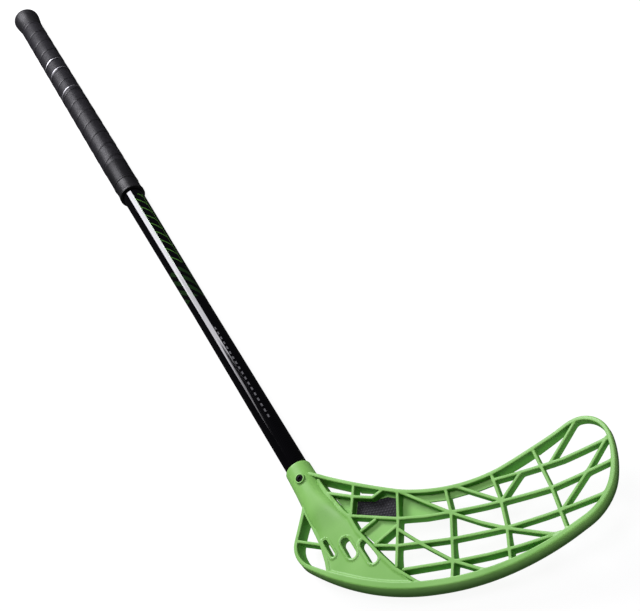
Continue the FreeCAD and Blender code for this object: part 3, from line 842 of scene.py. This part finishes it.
def bladeFields(points):
    # distances to the outline, rim band, each rib, leg and slots, negative within each
    edge = shapeField(points, outlinePoints)
    slots = np.full(len(points), 1e3)
    for begin, finish, off, half in slotRuns:
        ends = fromShaft(np.array([begin + half, finish - half]), np.array([off, off]))
        slots = np.minimum(slots, lineDistance(points, ends[:1], ends[1:]) - half)
    return dict(
        edge=edge,
        rim=np.maximum(edge, -edge - rimWidth(points)),
        ribs=np.stack([lineDistance(points, line[:-1], line[1:]) for line in ribLines]) - blade["rib"] / 2,
        leg=shapeField(points, legCorners),
        slots=slots,
    )


def bladeField(points):
    # soft union -k ln(sum e^(-f/k)) of rim, ribs and slotted leg, less a notch for the shaft's socket
    at = bladeFields(points)
    parts = np.vstack([at["rim"], at["ribs"], np.maximum(at["leg"], -at["slots"])])
    least = parts.min(0)
    k = blade["blend"]
    joined = least - k * np.log(np.exp((least - parts) / k).sum(0))
    along, off = toShaft(points)
    notch = np.maximum(np.abs(off) - blade["notchHalf"], along - blade["notchEnd"])
    return np.maximum.reduce([joined, at["edge"], -notch])


def outerRadius(points):
    # the rim's outer edge: about a quarter of its width, and more along the sole towards the toe and round it
    along, down = bladeShares(points)
    low = sCurve(down, *runs["softDown"]) * sCurve(along, *runs["softAlong"])
    toe = sCurve(along, *runs["toe"])
    more = blade["edgeToe"] * toe * (1 - low) + blade["edgeSole"] * low
    return blade["edgeShare"] * rimWidth(points) + more


def outerShare(points):
    # one at the rim's outer edge, falling as an S to nothing 1 mm inside its rounding
    radius = outerRadius(points)
    return sCurve(shapeField(points, outlinePoints), -radius - 1.0, -radius - 0.2)


def edgeRadius(points):
    # rounder at the rim's outer edge than on the ribs
    return ease(blade["ribEdge"], outerRadius(points), outerShare(points))


def bladeFront(points):
    # ribs a little behind the rim's front, the leg's plate a little further, with a low lip round each slot;
    # the top rim climbs onto the hosel
    at = bladeFields(points)
    along, off = toShaft(points)
    climb = blade["climb"] * (1 - sCurve(off, *runs["climbOff"])) * (1 - sCurve(along, *runs["climbAlong"]))
    onRim = 1 - sCurve(at["rim"], *runs["seam"])
    onBars = 1 - sCurve(np.minimum(at["rim"], at["ribs"].min(0)), *runs["bars"])
    lip = blade["lip"] * np.exp(-((at["slots"] - blade["lipPlace"]) / blade["lipWidth"]) ** 2)
    behind = blade["ribStep"] * (1 - onRim) + (blade["legStep"] - lip) * (1 - onBars)
    return frontHeight(points) + climb - behind


def bladeBack(points):
    # depth behind the front face: the rim's goes as an S from its top's to its sole's; the ribs' falls from
    # heel to toe as (1 - share)^fall and grows again next to the sole; the shaft's bore stays clear
    at = bladeFields(points)
    along, down = bladeShares(points)
    sole = ease(blade["depthSoleHeel"], blade["depthSoleToe"], along)
    top = ease(blade["depthTop"], blade["depthToe"], sCurve(along, *runs["topAlong"]))
    rimDepth = ease(top, sole, sCurve(down, *runs["depthDown"]))
    depth = ease(blade["ribToe"], blade["ribHeel"], np.clip(1 - along, 0, 1) ** blade["ribFall"])
    depth += blade["ribSole"] * sCurve(down, *runs["ribDown"])
    onLeg = 1 - sCurve(at["leg"], *runs["seam"])
    depth += (blade["leg"] - depth) * onLeg * sCurve(at["ribs"].min(0), *runs["legRibs"])
    depth += (rimDepth - depth) * (1 - sCurve(at["rim"], *runs["seam"]))
    shaftAlong, shaftOff = toShaft(points)
    inBore = (shaftAlong < blade["boreEnd"]) & (np.abs(shaftOff) < blade["bore"])
    bore = np.where(inBore, np.sqrt(np.clip(blade["bore"] ** 2 - shaftOff ** 2, 0, None)), -50)
    front = frontHeight(points)
    return np.maximum(front - depth, np.minimum(bore, front - blade["cover"]))


def soleBulge(points, slope):
    # the outer wall swells towards the back where it faces down to the floor, less towards the toe, and the
    # top rim's inner wall leans inwards near the heel
    along, down = bladeShares(points)
    outer = outerShare(points)
    facing = np.clip(-slope[:, 1], 0, 1)
    fade = 1 - blade["bulgeFade"] * sCurve(along, *runs["bulgeAlong"])
    swell = blade["bulge"] * fade * outer * facing
    inner = sCurve(shapeField(points, outlinePoints), *runs["draftIn"]) * (1 - outer) * facing
    nearHeel = (1 - sCurve(along, *runs["draftAlong"])) * (1 - sCurve(down, *runs["draftDown"]))
    lean = blade["draft"] * inner * nearHeel
    return swell[:, None] * np.array(blade["bulgeRows"]) + lean[:, None] * np.array(blade["draftRows"])


# thin plates between the bars: how far behind the front those of the heel, the leg's side, the top rim and
# the insert's bed lie, how far they run into the bars, thickness, grid and edge radius
web = dict(steps=(8.0, 4.2, 5.5), grow=0.4, bedStep=8.3, thick=2.0, grid=1.2, edge=0.2)


def webPlate(outlines, grow, behind):
    # one plate over some outlines, its front a step behind the blade's front
    def field(points):
        return np.min([shapeField(points, corners) for corners in outlines], 0) - grow

    low = np.min([corners.min(0) for corners in outlines], 0) - 3
    high = np.max([corners.max(0) for corners in outlines], 0) + 3
    plate = snappedPlate(field, low, high, web["grid"])
    return plateShell(plate, field, lambda p: frontHeight(p) - behind,
                      lambda p: frontHeight(p) - behind - web["thick"], web["edge"])


# rows: from, to and number; stations: distance from the mouth, reach left and right, top, bottom, squareness;
# mouthRings: distance and radius from the socket out over the mouth's lip;
# boss: (r, z) round the screw's head
hosel = dict(
    socket=10.75, socketDepth=54.0, rows=((1.2, 40, 20), (42, 101, 45)), round=112,
    stations=(
        (1.2, 12.8, 12.4, 12.25, -12.25, 2.0), (20, 13.6, 12.7, 12.25, -12.25, 2.0),
        (42, 15.0, 13.4, 12.1, -12.2, 2.2), (54, 15.4, 14.8, 11.2, -11.0, 2.9),
        (63, 15.5, 16.2, 9.6, -9.0, 3.5), (71, 15.8, 17.2, 8.3, -7.0, 3.9),
        (80, 16.9, 18.3, 7.5, -4.9, 4.2), (92, 19.0, 19.7, 6.9, -2.9, 4.4), (101, 21.0, 21.0, 6.4, -1.7, 4.4),
    ),
    mouthRings=((0.6, 10.75), (0.15, 11.0), (0, 11.25), (0.1, 11.9), (0.5, 12.15)),
    boss=((3.55, 10.0), (3.55, 13.7), (4.75, 13.7), (5.3, 10.0)), bossCuts=(0, 0.3, 0.5, 0),
)


def hoselNeck():
    # rings along the shaft's line from the socket's end to the mouth and back over the outside to the leg:
    # y = middle + reach |cos a|^(2/n), z = middle + rise |sin a|^(2/n), with the signs of cos a and sin a;
    # between stations each number follows a cubic that keeps its slope
    key = np.array(hosel["stations"])
    along = np.concatenate([np.linspace(*run) for run in hosel["rows"]])
    tangent = np.gradient(key, key[:, 0], axis=0)
    place = np.clip(np.searchsorted(key[:, 0], along, "right") - 1, 0, len(key) - 2)
    gap = (key[place + 1, 0] - key[place, 0])[:, None]
    s = ((along - key[place, 0])[:, None]) / gap
    outside = ((2 * s ** 3 - 3 * s ** 2 + 1) * key[place] + (s ** 3 - 2 * s ** 2 + s) * gap * tangent[place]
               + (3 * s ** 2 - 2 * s ** 3) * key[place + 1] + (s ** 3 - s ** 2) * gap * tangent[place + 1])
    outside[:, 0] = along
    end, bore = hosel["socketDepth"], hosel["socket"]
    inner = [(u, r, r, r, -r, 2.0) for u, r in ((end, 0), (end, bore), (end / 2, bore), *hosel["mouthRings"])]
    last = outside[-1]
    middle = (last[3] + last[4]) / 2
    rows = np.vstack([inner, outside, (last[0] + 0.5, 0, 0, middle, middle, 2)])
    angle = np.linspace(0, 2 * np.pi, hosel["round"], endpoint=False)
    power = 2 / rows[:, 5:6]
    wide = np.sign(np.cos(angle)) * np.abs(np.cos(angle)) ** power
    tall = np.sign(np.sin(angle)) * np.abs(np.sin(angle)) ** power
    y = np.where(wide > 0, wide * rows[:, 2:3], wide * rows[:, 1:2])
    z = (rows[:, 3:4] + rows[:, 4:5]) / 2 + tall * (rows[:, 3:4] - rows[:, 4:5]) / 2
    x = blade["mouth"] + np.repeat(rows[:, :1], len(angle), 1)
    return np.stack([x, y, z], -1), gridFaces(len(rows), len(angle), False, True)


def screwBoss():
    # a ring round the screw's head, square to the blade, with a round top edge
    profile = roundedLine(hosel["boss"], hosel["bossCuts"])
    angle = np.linspace(0, 2 * np.pi, 72, endpoint=False)
    return uprightShell(profile[:, :1], profile[:, 1], angle, (screw["place"], 0.0), closed=True)


def carvedNeck():
    # the hosel and neck with room for the screw and the leg's slots cut out
    neck = buildPiece("neckPart", [hoselNeck()])
    through = 20.0
    carve(neck, pin(screw["place"], screw["headHole"], screw["seat"], through))
    carve(neck, pin(screw["place"], screw["hole"], 6.0, through))
    for begin, finish, off, half in slotRuns:
        middle = blade["mouth"] + (begin + finish) / 2
        carve(neck, pin(middle, half, -through, through, off, finish - begin - 2 * half))
    shell = (readPoints(neck.data, "co") / mm, [list(face.vertices) for face in neck.data.polygons])
    bpy.data.objects.remove(neck)
    return shell


def onBlade(points):
    # points of the frame as distance along the shaft from the mouth, and as (t, v)
    along = points[:, 0] - blade["mouth"]
    return along, fromShaft(along, points[:, 1])


def paintedWallShade(points, normals):
    # how much painted shade each point gets: 1 on inner walls square to the front and deep behind it, 0 on
    # faces along the front, and little on the hosel and the outer wall
    along, tv = onBlade(points)
    steep = 1 - sCurve(np.abs(normals[:, 2]), *runs["wallSteep"])
    deep = sCurve(frontHeight(tv) - points[:, 2], *runs["wallDeep"])
    onHosel = (1 - sCurve(along, *runs["hoselAlong"])) * (1 - sCurve(np.abs(points[:, 1]), *runs["hoselOff"]))
    outer = sCurve(shapeField(tv, outlinePoints), *runs["wallOut"])
    return steep * (0.5 + 0.5 * deep) * (1 - 0.7 * onHosel) * (1 - 0.8 * outer)


def paintedSoleShade(points, normals):
    # painted shade: 1 low on the outer wall that faces the floor in play or ends the toe, 0 elsewhere
    along, tv = onBlade(points)
    down = normals[:, 0] * lieSin - normals[:, 1] * lieCos
    toeward = normals[:, 0] * lieCos + normals[:, 1] * lieSin
    facing = np.maximum(down, toeward)
    share = np.zeros(len(points))
    near = (facing > runs["soleFacing"][0]) & (along > runs["hoselAlong"][0])
    outer = sCurve(shapeField(tv[near], outlinePoints), *runs["soleOut"])
    deep = sCurve(frontHeight(tv[near]) - points[near, 2], *runs["soleDeep"])
    share[near] = outer * deep * sCurve(facing[near], *runs["soleFacing"])
    return share


def bladeMoulding():
    # lattice, thin plates, boss and neck as one moulding; the lattice's flat front is what its rounded edges
    # leave
    low = outlinePoints.min(0) - 4
    high = outlinePoints.max(0) + 4
    plate = snappedPlate(lambda p: bladeField(p) + edgeRadius(p), low, high, blade["step"])
    shells = [plateShell(plate, bladeField, bladeFront, bladeBack, edgeRadius, soleBulge, blade["shoulder"])]
    webs = [bladeSpots(places) for places in webPlaces]
    for outlines, behind in zip((webs[:2], webs[2:3], webs[3:]), web["steps"]):
        shells.append(webPlate(outlines, web["grow"], behind))
    shells += [webPlate([insertCorners], 0.0, web["bedStep"]), screwBoss(), carvedNeck()]
    piece = buildPiece("bladeMoulding", shells, 40, thinGap=0)
    # where the material paints shade on the inner walls
    markPoints(piece, "wall", paintedWallShade)
    # where the material paints shade low on the sole's outer wall
    markPoints(piece, "sole", paintedSoleShade)
    weighted = piece.modifiers.new("weighted", "WEIGHTED_NORMAL")
    weighted.keep_sharp = True
    fitPiece(piece, bladePlastic(), "stick", "blade_plastic", "blade")


insert = dict(
    step=7.0, thick=1.3, inset=1.9, dotPitch=2.9, dotEdge=(0.42, 0.875), dotHeight=0.45, grid=0.34, edge=0.15,
)


def insertDots(points):
    # dots on a three-way lattice: 1 in a dot's middle, falling as an S to 0 over its edge
    pitch = insert["dotPitch"]
    row = pitch * math.sqrt(3)
    away = []
    for shiftT, shiftV in ((0, 0), (pitch / 2, row / 2)):
        t = (points[:, 0] + shiftT + pitch / 2) % pitch - pitch / 2
        v = (points[:, 1] + shiftV + row / 2) % row - row / 2
        away.append(np.hypot(t, v))
    return 1 - sCurve(np.minimum(*away), *insert["dotEdge"])


def insertTop(points):
    # a step behind the blade's front, with the ground between the dots lower still
    return frontHeight(points) - insert["step"] + insert["dotHeight"] * (insertDots(points) - 1)


def dotShare(points, normals):
    # the dots' tops only
    tv = onBlade(points)[1]
    return insertDots(tv) * (normals[:, 2] > 0)


def bladeInsert():
    # a dotted plate, inset from the outline of its cell
    def field(points):
        return shapeField(points, insertCorners) + insert["inset"]

    plate = snappedPlate(field, insertCorners.min(0) - 1, insertCorners.max(0) + 1, insert["grid"])
    depth = insert["step"] + insert["thick"]
    shell = plateShell(plate, field, insertTop, lambda p: frontHeight(p) - depth, insert["edge"])
    piece = buildPiece("bladeInsert", [shell], 60, mergeGap=0, thinGap=0)
    markPoints(piece, "dots", dotShare)
    fitPiece(piece, insertRubber(), "stick", "insert_rubber", "blade_insert")


shaftTube()
gripWinding()
gripCollar()
buttCap()
bladeScrew()
bladeMoulding()
bladeInsert()
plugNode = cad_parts["shaft_plug"]
plugNode.data.materials.clear()
plugNode.data.materials.append(plainFinish("plugPlastic"))
print("pieces built")


# Stage, light and camera

# lamps: a bank of three softboxes beyond the butt, weaker towards the blade, and one box over the blade, all
# facing straight down, as place and size in m and power in W
stage = dict(
    floor=-0.0179, floorHalf=12.0, floorGrey=0.07, floorGlow=0.93, floorRough=0.9, world=0.05,
    lampColour=(1.0, 0.985, 1.05),
    lamps=dict(
        softboxFar=((-0.85, -0.13, 1.2), (0.6, 1.18), 84),
        softboxMid=((-0.425, -0.13, 1.2), (0.25, 1.18), 25),
        softboxNear=((-0.23, -0.46, 1.2), (0.14, 0.52), 2.5),
        overhead=((0.75, 0.25, 2.0), (0.8, 0.8), 28),
    ),
)


def studio():
    half = stage["floorHalf"]
    corners = ((-half, -half), (half, -half), (half, half), (-half, half))
    mesh = bpy.data.meshes.new("floor")
    mesh.from_pydata([(x, y, stage["floor"]) for x, y in corners], [], [(0, 1, 2, 3)])
    floor = bpy.data.objects.new("floor", mesh)
    scene.collection.objects.link(floor)
    mat, shader = newFinish("floorPaper", (stage["floorGrey"],) * 3, stage["floorRough"])
    setInputs(shader, {"Specular IOR Level": 0.0})
    setInputs(shader, {"Emission Color": (1, 1, 1, 1), "Emission Strength": stage["floorGlow"]})
    mesh.materials.append(mat)
    floor.visible_glossy = False   # its reflection would grey the edges of the plastic
    world = bpy.data.worlds.new("studioWorld")
    world.use_nodes = True
    background = world.node_tree.nodes["Background"]
    setInputs(background, {"Color": (1, 1, 1, 1), "Strength": stage["world"]})
    scene.world = world
    for name, (place, size, power) in stage["lamps"].items():
        lamp = bpy.data.lights.new(name, "AREA")
        lamp.shape = "RECTANGLE"
        lamp.size, lamp.size_y = size
        lamp.energy = power
        lamp.color = stage["lampColour"]
        holder = bpy.data.objects.new(name, lamp)
        holder.location = place
        scene.collection.objects.link(holder)
    scene.view_settings.view_transform = "Standard"


view = dict(
    place=(1.4786, 0.1989, 0.8295), right=(0.4462, 0.765, -0.4644), up=(-0.6214, 0.6383, 0.4543),
    back=(0.644, 0.0859, 0.7602), lens=61.875, sensor=36.0,
)


def photoCamera():
    lens = bpy.data.cameras.new("photoCamera")
    lens.lens = view["lens"]
    lens.sensor_width = view["sensor"]
    lens.sensor_fit = "HORIZONTAL"
    lens.clip_end = 100
    camera = bpy.data.objects.new("photoCamera", lens)
    scene.collection.objects.link(camera)
    turn = np.eye(4)
    turn[:3, :3] = np.stack([view["right"], view["up"], view["back"]], 1)
    turn[:3, 3] = view["place"]
    camera.matrix_world = Matrix(turn.tolist())
    scene.camera = camera


studio()
photoCamera()
print("stage set")
